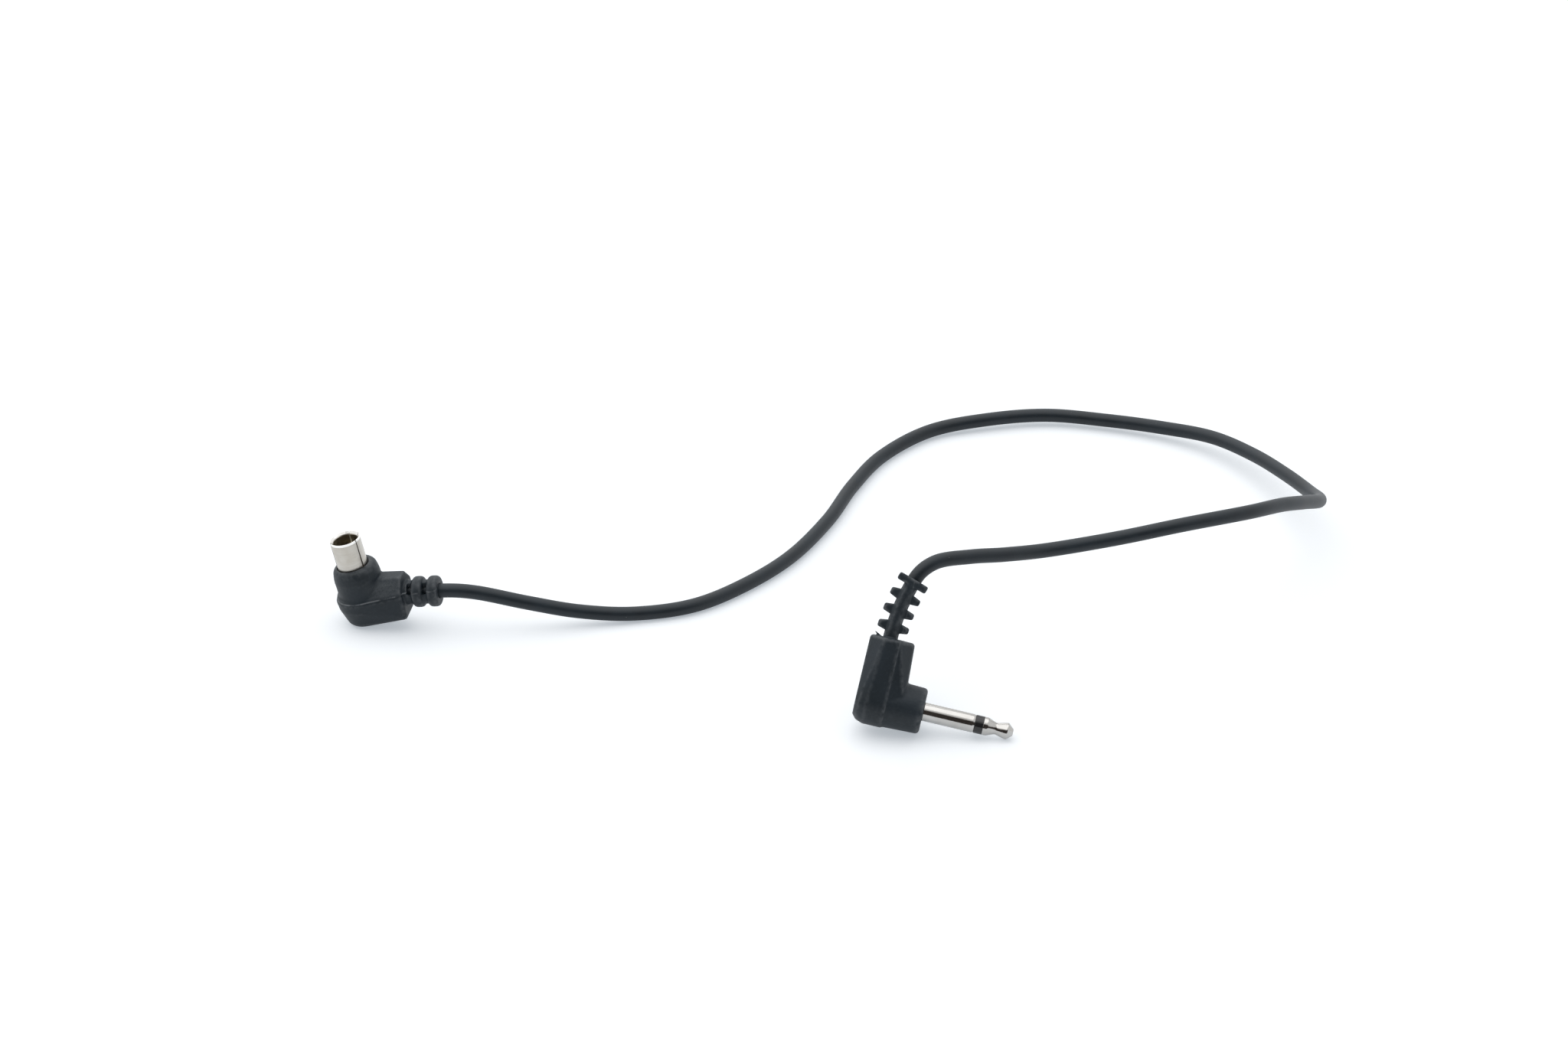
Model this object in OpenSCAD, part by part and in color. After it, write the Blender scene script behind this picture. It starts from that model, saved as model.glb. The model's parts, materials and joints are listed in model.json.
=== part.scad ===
// Flash sync cord: a right-angle PC plug and a right-angle 2.5 mm mono plug
// on one thin round cord. Millimetres, +Z up, resting on z = 0.
// Each plug is drawn in its own frame and then laid in its resting pose:
//   PC plug:   z runs out along the contact sleeve, x runs towards the cord.
//   Jack plug: x runs out along the barrel from the boss face, y runs towards
//              the cord, and the two arms of the L lie in the xy plane.

/* [Cord] */
// Diameter of the cord's jacket
cord_d = 2.0; // [1.6:0.1:2.0]
// Sides of the swept cord
cord_sides = 8; // [8:1:12]
// Rings between one route point and the next
cord_steps = 2; // [1:1:3]

/* [PC plug] */
// Outside diameter of the slit contact sleeve
pc_sleeve_d = 4.25; // [4.1:0.05:4.4]
// Diameter of the gripping land just inside the sleeve's mouth
pc_grip_d = 3.35; // [3.2:0.05:3.45]
// Length of the gripping land
pc_grip_len = 1.5; // [1:0.1:1.8]
// Height of the sleeve's mouth over the middle of the moulded leg
pc_mouth_z = 9.45; // [9:0.05:10]
// Width of the sleeve's saw cuts where they start, at the collar
pc_slit_w = 0.22; // [0.15:0.01:0.4]
// Width left of them at the mouth, where the spring fingers close in
pc_slit_top = 0.12; // [0.1:0.01:0.15]
// Diameter of the centre contact
pc_pin_d = 1.0; // [0.8:0.05:1.2]
// Height of the collar's face over the middle of the leg
pc_collar_z = 5.35; // [5.2:0.05:5.8]
// Radius of the collar at its rolled rim
pc_rim_r = 3.15; // [3:0.05:3.2]
// Radius of the round heel under the collar
pc_heel_r = 3.6; // [3.4:0.05:3.7]
// Distance from the sleeve's axis to the end of the leg
pc_leg_len = 6.4; // [6:0.1:8]
// Distance from the sleeve's axis to the end of the strain relief
pc_relief_end = 11.3; // [10.8:0.1:13]

/* [Jack plug] */
// Diameter of the plug's barrel
jack_d = 2.5; // [2.45:0.01:2.5]
// Length of the barrel from the boss face to the insulating ring
jack_barrel = 7.0; // [6:0.1:7.5]
// Width of the black insulating ring
jack_ring = 1.15; // [0.8:0.05:1.4]
// Length from the boss face to the end of the tip
jack_len = 12.2; // [12:0.1:12.6]
// Radius of the moulded boss at its face
jack_boss_r = 3.1; // [3:0.05:3.15]
// Distance from the barrel's axis to the top of the leg
jack_leg_top = 8.5; // [8.2:0.05:9]
// Radius of the bend that the strain relief is moulded to
jack_bend_r = 27.3; // [25:0.1:40]
// Angle of the bend from the leg to the end of the relief
jack_bend = 18.4; // [15:0.1:20]
// Number of rib pairs on the fishbone relief
jack_ribs = 4; // [3:1:5]
// Span of the ribs from tip to tip
jack_rib_span = 4.25; // [3.6:0.05:4.6]

/* [Hidden] */

vinyl = "#22262b";
nickel = "#c9c6bd";
brass = "#c8a75a";
copper = "#b8724a";
cream = "#e8e2d0";
solder = "#aeb1b4";

cord_r = cord_d / 2;

// Resting pose of each plug: place of its frame, then turns about x, y and z
pc_at = [-42, 14.1, 3.95];
pc_turn = [1.2, -12.7, -10.5];
jack_at = [34.8, -14.4, 3.16];
jack_turn = [59, 10.2, -8.7];

// The mould's two halves meet on this plane, on the contact's side of the leg
pc_part_z = 0.7;
jack_part_x = -5.25;
// The half on the contact's side is this much smaller all round
pc_part_step = 0.25;
jack_part_step = 0.12;

// The narrower square end that the PC plug's leg tapers to
pc_end_half = 2.4;
pc_end_low = -3.15;
pc_end_top = 2.9;
// The upper half's end face runs out by this share of the way across it
pc_end_skew = 0.12;
// The collar stands this far off the sleeve's axis, towards the leg
pc_collar_off = 0.2;
// The strain relief droops this far from the leg's line
pc_droop = 4;

// The jack's leg: half width and size of the bevels of its eight-sided section
leg_half = 3.2;
leg_bevel = 1.85;

// Where the saw cuts lie round the PC plug's sleeve
pc_slit_turns = [34, 86, 214, 332];

// Inside the PC plug
pc_land_low = pc_mouth_z - 0.4 - pc_grip_len;
pc_pin_top = pc_land_low - 0.05;
pc_face_z = 4.3;
pc_bore_r = 1.85;
pc_core_r = 1.72;
pc_ring_r = 2.15;
pc_ring_w = 1.5;
pc_ring_pitch = 2.2;

// Inside the jack plug
jack_back_x = -9.35;
jack_face_x = -0.2;
jack_heel_r = 3.4;
jack_ring_x = jack_face_x + jack_barrel;
jack_end_x = jack_face_x + jack_len;
jack_cord_x = -6.7;
jack_relief_y = 8.2;
jack_rod_r = 0.45;
jack_tube_r = 0.8;
jack_r = jack_d / 2;
// The sleeve is necked where the moulding grips it, and the ring and the tip
// stand back a hair from the sleeve's own radius
jack_neck_r = jack_r - 0.17;
jack_land_r = jack_r - 0.015;
jack_tip_r = jack_r - 0.11;

// ---------- small vector helpers ----------

function about_x(v, a) = [v.x, v.y * cos(a) - v.z * sin(a), v.y * sin(a) + v.z * cos(a)];
function about_y(v, a) = [v.x * cos(a) + v.z * sin(a), v.y, v.z * cos(a) - v.x * sin(a)];
function about_z(v, a) = [v.x * cos(a) - v.y * sin(a), v.x * sin(a) + v.y * cos(a), v.z];
function turned(v, t) = about_z(about_y(about_x(v, t.x), t.y), t.z);
function unit(v) = v / norm(v);
function quarter(c, r, from, n = 4) =
  [for (i = [0:n]) c + r * [cos(from + 90 * i / n), sin(from + 90 * i / n)]];

// Corners of a leg's eight-sided section, set in by a given amount
function eight(half_u, half_v, bevel, inset) =
  let (u = half_u - inset, v = half_v - inset, b = bevel - 0.41 * inset)
  [[u, v - b], [u - b, v], [b - u, v], [-u, v - b],
   [-u, b - v], [b - u, -v], [u - b, -v], [u, b - v]];

// ---------- the cord's route ----------

// Where the cord leaves each strain relief, and the way it points there
pc_out = [cos(pc_droop), 0, -sin(pc_droop)];
pc_exit = pc_at + turned([pc_leg_len, 0, 0] + (pc_relief_end - pc_leg_len) * pc_out, pc_turn);
pc_dir = turned(pc_out, pc_turn);
jack_end = [jack_cord_x + jack_bend_r * (1 - cos(jack_bend)),
            jack_relief_y + jack_bend_r * sin(jack_bend), 0];
jack_exit = jack_at + turned(jack_end, jack_turn);
jack_dir = turned([sin(jack_bend), cos(jack_bend), 0], jack_turn);

// Points the cord passes through: down from the PC plug, along the surface in
// an open S, up and round the far loop, and back over to the jack plug
route = [
  [-26.2, 12.1, 5.8],
  [-19, 12.3, 4],
  [-12, 13.2, 2.1],
  [-4.5, 14.2, 1.15],
  [3.5, 16.5, 1.05],
  [10.5, 22, 1.05],
  [17, 29.8, 1.05],
  [22.3, 40, 1.05],
  [26, 50, 1.05],
  [30.5, 59, 1.05],
  [37.5, 66.2, 1.2],
  [46, 69.2, 1.5],
  [55, 70.6, 1.5],
  [64, 69, 1.5],
  [72, 66.2, 1.8],
  [79, 62, 2.5],
  [84.5, 55.4, 3.2],
  [88.5, 47.5, 4.3],
  [91, 39.5, 6],
  [91.4, 32, 9],
  [88.5, 25, 12.7],
  [84.5, 18.5, 16],
  [79, 12, 18.5],
  [70, 7.5, 19.2],
  [61, 5.4, 18.3],
  [51.8, 3.2, 17.8],
  [45.7, 0.4, 18.7],
  [41, -1.7, 19.6],
  [36.3, -3.8, 20]];

// The spline's two outer handles make it leave each plug dead straight
stops = concat([pc_exit], route, [jack_exit]);
last = len(stops) - 1;
handles = concat([stops[1] - 10 * pc_dir], stops, [stops[last - 1] - 7 * jack_dir]);

// A point on the curve through b and c, a share t of the way between them
function between(a, b, c, d, t) =
  0.5 * (2 * b + t * (c - a) + t * t * (2 * a - 5 * b + 4 * c - d)
  + t * t * t * (3 * b - a - 3 * c + d));
function slope(a, b, c, d, t) =
  0.5 * ((c - a) + 2 * t * (2 * a - 5 * b + 4 * c - d)
  + 3 * t * t * (3 * b - a - 3 * c + d));
function on_route(i, t) =
  between(handles[i], handles[i + 1], handles[i + 2], handles[i + 3], t);
function along_route(i, t) =
  unit(slope(handles[i], handles[i + 1], handles[i + 2], handles[i + 3], t));

ring_at = concat(
  [for (i = [0:last - 1], k = [0:cord_steps - 1]) on_route(i, k / cord_steps)],
  [on_route(last - 1, 1)]);
ring_dir = concat(
  [for (i = [0:last - 1], k = [0:cord_steps - 1]) along_route(i, k / cord_steps)],
  [along_route(last - 1, 1)]);

// Carry one sideways direction from ring to ring, so the sides don't twist
function level(n, d) = unit(n - (n * d) * d);
ring_side = [for (i = 0, n = level([0, 0, 1], ring_dir[0]); i < len(ring_dir);
  i = i + 1, n = i < len(ring_dir) ? level(n, ring_dir[i]) : n) n];

module swept_cord(r, sides) {
  rings = len(ring_at);
  points = [for (i = [0:rings - 1], j = [0:sides - 1])
    let (n = ring_side[i], b = cross(ring_dir[i], n), a = 360 * (j + 0.5) / sides)
    ring_at[i] + r * (cos(a) * n + sin(a) * b)];
  walls = [for (i = [0:rings - 2], j = [0:sides - 1], k = [0, 1])
    let (a = i * sides + j, b = i * sides + (j + 1) % sides)
    k == 0 ? [a, a + sides, b] : [b, a + sides, b + sides]];
  first = [[for (j = [0:sides - 1]) j]];
  final = [[for (j = [sides - 1:-1:0]) (rings - 1) * sides + j]];
  polyhedron(points = points, faces = concat(walls, first, final), convexity = 10);
}

// ---------- placing ----------

module in_pc() { translate(pc_at) rotate(pc_turn) children(); }
module in_jack() { translate(jack_at) rotate(jack_turn) children(); }

// The PC plug's strain relief and cord, drooping from the end of the leg
module drooped() {
  translate([pc_leg_len, 0, 0])
    rotate([0, pc_droop, 0])
    translate([-pc_leg_len, 0, 0]) children();
}

// A round bar of radius r along x, y or z, from one place to the other
module bar_x(r, from, to) {
  translate([from, 0, 0]) rotate([0, 90, 0]) cylinder(r = r, h = to - from, $fn = 48);
}

module bar_y(r, from, to) {
  translate([0, from, 0]) rotate([-90, 0, 0]) cylinder(r = r, h = to - from, $fn = 48);
}

module bar_z(r, from, to) {
  translate([0, 0, from]) cylinder(r = r, h = to - from, $fn = 48);
}

// A profile of [distance from the axis, place along it] spun about x or z
module spun_x(profile) { rotate([0, 90, 0]) rotate_extrude($fn = 64) polygon(profile); }
module spun_z(profile) { rotate_extrude($fn = 64) polygon(profile); }

// A wire that comes down along y, with a knuckle where it turns to run along x
module elbow_wire(r, x, y, from_y, to_x) {
  knuckle = r + 0.12;
  translate([x, 0, 0]) bar_y(r, y, from_y);
  translate([0, y, 0]) bar_x(r, x, to_x);
  translate([x, y, 0]) bar_z(knuckle, -knuckle, knuckle);
}

// ---------- PC plug ----------

// Lower half of the mould: a flat-bottomed leg that widens into the round heel
module pc_lower_half() {
  soft = 0.45;
  hull() {
    for (y = [-1, 1], z = [pc_end_low + soft, pc_part_z - soft])
      translate([pc_leg_len - soft, y * (pc_end_half - soft), z])
      sphere(r = soft, $fn = 20);
    translate([0, 0, pc_part_z - 1.5]) spun_z(concat(
      [[0, -2.85], [pc_heel_r - 1.8, -2.85], [pc_heel_r - 1.2, -2.65],
        [pc_heel_r - 0.8, -2.2], [pc_heel_r - 0.12, 0]],
      quarter([pc_heel_r - 0.3, 1.2], 0.3, 0, 3), [[0, 1.5]]));
  }
}

// Upper half: slightly narrower, with sides that slope in to a narrow top
module pc_upper_half() {
  soft = 0.25;
  side = pc_end_half - pc_part_step - soft;
  hull() {
    for (y = [-1, 1]) {
      for (p = [[side, pc_part_z + 0.1], [side, 1.25], [0.85, pc_end_top - soft]])
        translate([pc_leg_len - soft + pc_end_skew * (y * p.x + side), y * p.x, p.y])
        sphere(r = soft, $fn = 16);
      translate([0, y * 1.1, pc_end_top + 0.1]) sphere(r = soft, $fn = 16);
    }
    cylinder(r = pc_heel_r - pc_part_step, h = pc_part_z + 0.4, $fn = 48);
  }
}

// Collar around the sleeve: a rolled rim, a slight waist and a flare to the heel
module pc_collar() {
  roll = pc_rim_r - 2.15;
  waist = pc_rim_r + 0.1;
  flare = pc_heel_r - 0.12 - waist;
  translate([pc_collar_off, 0, 0]) spun_z(concat(
    [[0, -1], [waist + flare, -1]],
    [for (a = [0:18:90]) [waist + flare * (1 - sin(a)), 0.8 + 1.2 * (1 - cos(a))]],
    [[waist, 2.6], [waist + 0.04, 3.4], [pc_rim_r + 0.06, 4.1]],
    quarter([2.15, pc_collar_z - roll], roll, 0, 5),
    [[0, pc_collar_z]]));
}

// Two-ring strain relief with windows on the side that the mould's top half made
module pc_relief() {
  soft = 0.45;
  ring_1 = pc_relief_end - pc_ring_pitch - pc_ring_w / 2;
  ring_2 = pc_relief_end - pc_ring_w / 2;
  difference() {
    union() {
      bar_x(pc_core_r, pc_leg_len - 1, pc_relief_end - 0.2);
      for (x = [ring_1, ring_2]) translate([x, 0, 0]) spun_x(concat(
        [[0, -pc_ring_w / 2]],
        quarter([pc_ring_r - soft, soft - pc_ring_w / 2], soft, -90, 5),
        quarter([pc_ring_r - soft, pc_ring_w / 2 - soft], soft, 0, 5),
        [[0, pc_ring_w / 2]]));
    }
    for (y = [-1, 1]) {
      translate([pc_leg_len + 0.55, y * 1.05 - 0.55, 0.25]) cube([0.65, 1.1, 3]);
      translate([ring_1 + pc_ring_w / 2 + 0.03, y * 1.05 - 0.55, 0.25])
        cube([pc_ring_pitch - pc_ring_w - 0.06, 1.1, 3]);
    }
  }
}

module pc_core_shape() {
  bar_z(2.4, -2.4, 4.4);
  bar_x(1.8, 0, 5.2);
}

module pc_housing() color(vinyl) in_pc() difference() {
  union() {
    pc_lower_half();
    pc_upper_half();
    pc_collar();
    drooped() pc_relief();
  }
  pc_core_shape();
  bar_z(pc_sleeve_d / 2, 3, pc_collar_z + 1);
  bar_z(pc_sleeve_d / 2 + 0.1, pc_collar_z - 0.35, pc_collar_z + 1);
  drooped() bar_x(cord_r, 5, pc_relief_end + 1);
}

module pc_inner_mould() color(cream) in_pc() difference() {
  pc_core_shape();
  bar_z(pc_sleeve_d / 2, 1.4, 5);
  bar_z(2.3, 1.4, 1.9);
  pc_lug_shape();
  pc_bush_shape();
  pc_pin_shape();
  pc_core_path();
  pc_tail_path();
  pc_pin_bead();
  pc_lug_bead();
  drooped() bar_x(cord_r, 3.6, 6);
}

module pc_sleeve() color(nickel) in_pc() difference() {
  union() {
    bar_z(pc_sleeve_d / 2, 1.4, pc_mouth_z);
    bar_z(2.3, 1.4, 1.9);
  }
  bar_z(pc_bore_r, 0, pc_land_low);
  bar_z(pc_grip_d / 2, pc_land_low - 1, pc_mouth_z + 1);
  spun_z([[0, pc_mouth_z - 0.4], [pc_grip_d / 2, pc_mouth_z - 0.4],
    [pc_sleeve_d / 2 - 0.1, pc_mouth_z + 0.02], [0, pc_mouth_z + 0.02]]);
  for (turn = pc_slit_turns) rotate([0, 0, turn]) pc_saw_cut();
}

// One cut, from inside the bore out through the wall
module pc_saw_cut() {
  low = pc_collar_z - 0.25;
  top = pc_mouth_z + 0.1;
  rotate([90, 0, 90]) translate([0, 0, 1]) linear_extrude(height = 3)
    polygon([[-pc_slit_w / 2, low], [pc_slit_w / 2, low], [pc_slit_top / 2, top],
      [-pc_slit_top / 2, top]]);
}

module pc_bush_shape() {
  bar_z(pc_bore_r, 1.4, pc_face_z);
  bar_z(1.2, 0.8, 1.4);
}

module pc_insulator() color("#3a3936") in_pc() difference() {
  pc_bush_shape();
  bar_z(pc_pin_d / 2, 0, 6);
}

module pc_pin_shape() {
  r = pc_pin_d / 2;
  spun_z([[0, -0.9], [0.4, -0.9], [0.4, 0.45], [0.75, 0.45], [0.75, 0.8], [r, 0.8],
    [r, pc_pin_top - 0.3], [r - 0.1, pc_pin_top - 0.1], [r - 0.28, pc_pin_top],
    [0, pc_pin_top]]);
}

module pc_center_pin() color(brass) in_pc() pc_pin_shape();

module pc_lug_shape() {
  difference() {
    union() {
      bar_z(2.2, 1.1, 1.4);
      translate([0, -0.7, 1.1]) cube([4.2, 1.4, 0.3]);
    }
    bar_z(1.2, 0, 2);
  }
}

module pc_shield_lug() color(nickel) in_pc() pc_lug_shape();

module pc_core_path() { translate([0, 0, -0.45]) bar_x(0.35, 0.8, 3.6); }
module pc_tail_path() { translate([0, 0, 0.7]) bar_x(0.25, 2.1, 3.6); }

module pc_core_wire() color(cream) in_pc() pc_core_path();
module pc_shield_tail() color(copper) in_pc() pc_tail_path();

module pc_pin_bead() { translate([0.55, 0, -0.5]) sphere(r = 0.7, $fn = 32); }
module pc_lug_bead() { translate([2.5, 0, 0.8]) sphere(r = 0.5, $fn = 32); }

module pc_pin_solder() color(solder) in_pc() difference() {
  pc_pin_bead();
  pc_pin_shape();
  pc_core_path();
}

module pc_lug_solder() color(solder) in_pc() difference() {
  pc_lug_bead();
  translate([0, -2, 1.1]) cube([5, 4, 1]);
  pc_tail_path();
}

module pc_cord_end() color(vinyl) in_pc() drooped() bar_x(cord_r, 3.6, pc_relief_end);

// ---------- cord ----------

module cord() color(vinyl) swept_cord(cord_r, cord_sides);

// ---------- jack plug ----------

// Eight-sided leg that runs down round the back of the boss
module jack_leg(half, right, soft) {
  heel = jack_heel_r - leg_half + half;
  hull() {
    for (p = eight((right - 0.28 - jack_back_x) / 2, half, leg_bevel, soft))
      translate([p.x + (right - 0.28 + jack_back_x) / 2, jack_leg_top - soft, p.y])
      sphere(r = soft, $fn = 20);
    bar_x(heel, -7.8, jack_part_x);
    bar_x(heel - 0.35, -8.8, right);
    bar_x(heel - 1, jack_back_x, right);
  }
}

// Round boss around the barrel: slightly tapered, with a rolled front edge
module jack_boss() {
  soft = 0.5;
  spun_x(concat(
    [[0, jack_part_x - 1], [jack_boss_r + 0.2, jack_part_x - 1]],
    quarter([jack_boss_r - soft, jack_face_x - soft], soft, 0, 5),
    [[0, jack_face_x]]));
}

// The frame of a cross-section of the curved relief, at an angle round its bend
module on_bend(angle) {
  translate([jack_cord_x + jack_bend_r, jack_relief_y, 0])
    rotate([0, 0, -angle]) translate([-jack_bend_r, 0, 0]) children();
}

// A section of [away from the bend's centre, sideways] carried round the bend
module bent(extra = 0) {
  translate([jack_cord_x + jack_bend_r, jack_relief_y, 0])
    rotate([0, 0, 180 - jack_bend - extra])
    rotate_extrude(angle = jack_bend + 2 * extra, $fn = 180)
    translate([jack_bend_r, 0]) children();
}

// One rib pair: thicker at its root, rounded at both tips, and thicker by a
// given amount on the upper face of its outer half
module rib(depth, tip, root, more = 0) {
  half = jack_rib_span / 2;
  soft = 0.2;
  linear_extrude(height = 2 * depth, center = true)
    polygon(concat(
      quarter([half - soft, tip - soft], soft, 0), [[1, root], [-1, root + more]],
      quarter([soft - half, tip + more - soft], soft, 90),
      quarter([soft - half, soft - tip], soft, 180), [[-1, -root], [1, -root]],
      quarter([half - soft, soft - tip], soft, 270)));
}

// Fishbone relief: rib pairs joined by a spine on the front and on the back
module jack_relief() {
  first = 3.8;
  step = (jack_bend - 1.1 - first) / (jack_ribs - 1);
  for (i = [0:jack_ribs - 2]) on_bend(first + i * step) rib(1.1, 0.42, 0.62, 0.14);
  on_bend(jack_bend - 1.1) rib(1.55, 0.5, 0.5);
  for (side = [-1, 1]) bent()
    polygon([for (p = [[-0.85, 0.4], [0.85, 0.4], [0.8, 1.2], [0.45, 1.45],
      [-0.45, 1.45], [-0.8, 1.2]]) [p.x, side * p.y]]);
  for (side = [-1, 1]) translate([jack_cord_x - 0.8, jack_relief_y - 1, side * 0.9 - 0.5])
    cube([1.6, 1.1, 1]);
}

// A whisker of mould flash left on the leg's top edge
module jack_flash() {
  linear_extrude(height = 0.25)
    translate([jack_back_x, jack_leg_top - 0.1])
    polygon([[1.2, 0], [1.75, 0], [0.55, 0.62], [0.42, 0.5]]);
}

module jack_core_shape() {
  bar_x(2.6, -7.7, -0.9);
  translate([-6.2, 0, 0]) bar_y(2.2, 0, 6.4);
}

// The cord's last stretch: straight in the leg, then round the relief's bend
module jack_jacket() {
  bent() circle(r = cord_r, $fn = 32);
  translate([jack_cord_x, 0, 0]) bar_y(cord_r - 0.02, 4.6, jack_relief_y + 0.5);
}

module jack_housing() color(vinyl) in_jack() difference() {
  union() {
    intersection() {
      jack_leg(leg_half, -3, 0.45);
      translate([-15, -10, -10]) cube([15 + jack_part_x, 30, 20]);
    }
    jack_leg(leg_half - jack_part_step, -3, 0.45);
    jack_boss();
    jack_relief();
    jack_flash();
  }
  jack_core_shape();
  bar_x(1.5, -2, -0.7);
  bar_x(jack_neck_r, -1, 1);
  jack_jacket();
  on_bend(jack_bend) translate([0, -0.02, 0]) bar_y(cord_r, 0, 1);
}

module jack_inner_mould() color(cream) in_jack() difference() {
  jack_core_shape();
  bar_x(1.5, -1.2, -0.7);
  bar_x(2.1, -1.7, -1.2);
  jack_shield_lug_shape();
  bar_x(1.8, -2.6, -2);
  bar_x(1, -2.6, -1.6);
  jack_tip_lug_shape();
  bar_x(0.75, -3.4, -2.9);
  bar_x(jack_rod_r, -3, -2.5);
  jack_core_path();
  jack_tail_path();
  jack_tip_bead();
  jack_lug_bead();
  jack_jacket();
}

module jack_sleeve() color(nickel) in_jack() difference() {
  union() {
    bar_x(jack_r, jack_face_x, jack_ring_x);
    bar_x(jack_neck_r, -1, jack_face_x);
    bar_x(1.5, -1.2, -0.7);
    bar_x(2.1, -1.7, -1.2);
  }
  bar_x(jack_tube_r, -3, jack_ring_x + 1);
}

module jack_insulator() color("#1b1c1e") in_jack() difference() {
  union() {
    bar_x(jack_tube_r, -1.7, jack_ring_x);
    bar_x(jack_land_r, jack_ring_x, jack_ring_x + jack_ring);
  }
  bar_x(jack_rod_r, -3, jack_end_x);
}

module jack_washer() color("#6d4a2f") in_jack() difference() {
  union() {
    bar_x(1.8, -2.6, -2);
    bar_x(1, -2, -1.7);
  }
  bar_x(jack_rod_r, -3, 0);
}

// Tip contact: full at the ring, necked for the socket's spring, then flared to
// a sharp shoulder and a short blunt cone
module jack_tip() color(nickel) in_jack() {
  start = jack_ring_x + jack_ring;
  spun_x([[0, -3.4], [0.6, -3.4], [0.75, -3.2], [0.75, -2.9], [jack_rod_r, -2.9],
    [jack_rod_r, start], [jack_land_r, start], [jack_land_r, start + 0.55],
    [1.0, start + 1.1], [0.85, start + 1.5], [0.79, start + 1.75],
    [0.83, start + 1.95], [1.0, start + 2.55], [jack_tip_r, jack_end_x - 0.85],
    [jack_tip_r - 0.01, jack_end_x - 0.75], [0.5, jack_end_x - 0.05],
    [0.44, jack_end_x], [0, jack_end_x]]);
}

module jack_shield_lug_shape() {
  difference() {
    union() {
      bar_x(2.1, -2, -1.7);
      translate([-2, 0.5, -0.6]) cube([0.3, 2, 1.2]);
      translate([-5.2, 2.2, -0.6]) cube([3.5, 0.3, 1.2]);
    }
    bar_x(1, -3, 0);
  }
}

module jack_tip_lug_shape() {
  difference() {
    union() {
      bar_x(0.95, -2.9, -2.6);
      translate([-2.9, 0, -0.6]) cube([0.3, 1.3, 1.2]);
      translate([-4.8, 1, -0.6]) cube([2.2, 0.3, 1.2]);
    }
    bar_x(jack_rod_r, -4, 0);
  }
}

module jack_shield_lug() color(nickel) in_jack() jack_shield_lug_shape();
module jack_tip_lug() color(nickel) in_jack() jack_tip_lug_shape();

module jack_core_path() { elbow_wire(0.22, jack_cord_x - 0.2, 1.55, 4.6, -4); }
module jack_tail_path() { elbow_wire(0.25, jack_cord_x + 0.6, 2.78, 4.6, -4.5); }

module jack_core_wire() color(cream) in_jack() jack_core_path();
module jack_shield_tail() color(copper) in_jack() jack_tail_path();

module jack_tip_bead() { translate([-4.1, 1.55, 0]) sphere(r = 0.45, $fn = 32); }
module jack_lug_bead() { translate([-4.6, 2.8, 0]) sphere(r = 0.5, $fn = 32); }

module jack_tip_solder() color(solder) in_jack() difference() {
  jack_tip_bead();
  translate([-6, 0, -2]) cube([4, 1.3, 4]);
  jack_core_path();
}

module jack_lug_solder() color(solder) in_jack() difference() {
  jack_lug_bead();
  translate([-6, 0, -2]) cube([4, 2.5, 4]);
  jack_tail_path();
}

module jack_cord_end() color(vinyl) in_jack() jack_jacket();

pc_housing();
pc_inner_mould();
pc_sleeve();
pc_insulator();
pc_center_pin();
pc_shield_lug();
pc_core_wire();
pc_shield_tail();
pc_pin_solder();
pc_lug_solder();
pc_cord_end();
cord();
jack_cord_end();
jack_housing();
jack_inner_mould();
jack_sleeve();
jack_insulator();
jack_washer();
jack_tip();
jack_shield_lug();
jack_tip_lug();
jack_core_wire();
jack_shield_tail();
jack_tip_solder();
jack_lug_solder();
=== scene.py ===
# %% [markdown]
# # A flash sync cord with two moulded right-angle plugs
#
# A thin black cord joins a slit coaxial plug to a small jack plug. The CAD model
# gives every hard piece its true size and place, and this notebook gives it its
# looks: softened mouldings, a round cord, turned and plated contacts, and
# materials with dust and tool marks. It starts by loading the CAD model as a
# frame that never moves.

# %% Load the imported model
import json
import math

import bmesh
import bpy
import numpy as np
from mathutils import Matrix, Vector


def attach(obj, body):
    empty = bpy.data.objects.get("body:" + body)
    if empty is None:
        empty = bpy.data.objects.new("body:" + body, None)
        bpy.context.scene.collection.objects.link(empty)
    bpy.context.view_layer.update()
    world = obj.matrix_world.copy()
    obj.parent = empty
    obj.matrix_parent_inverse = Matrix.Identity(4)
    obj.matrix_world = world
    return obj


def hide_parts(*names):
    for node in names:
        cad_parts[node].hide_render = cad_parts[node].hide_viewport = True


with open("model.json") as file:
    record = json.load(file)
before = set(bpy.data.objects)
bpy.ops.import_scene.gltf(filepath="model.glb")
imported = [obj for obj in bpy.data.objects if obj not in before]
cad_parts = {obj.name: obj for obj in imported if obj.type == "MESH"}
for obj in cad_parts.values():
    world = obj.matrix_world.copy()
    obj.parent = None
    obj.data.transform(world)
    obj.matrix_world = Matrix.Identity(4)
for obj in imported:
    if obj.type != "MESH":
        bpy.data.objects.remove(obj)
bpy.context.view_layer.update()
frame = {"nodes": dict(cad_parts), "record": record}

nodes = frame["nodes"]

# %% [markdown]
# ## The camera
#
# A small object on a table is seen from about two thirds of a metre through a
# long lens, looking down thirty degrees. A long lens keeps the near and far
# plugs nearly the same size. The camera could be placed by its coordinates. It
# is placed from its target, its distance and its angle instead, because those
# are what is set by hand at a real table.

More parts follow.
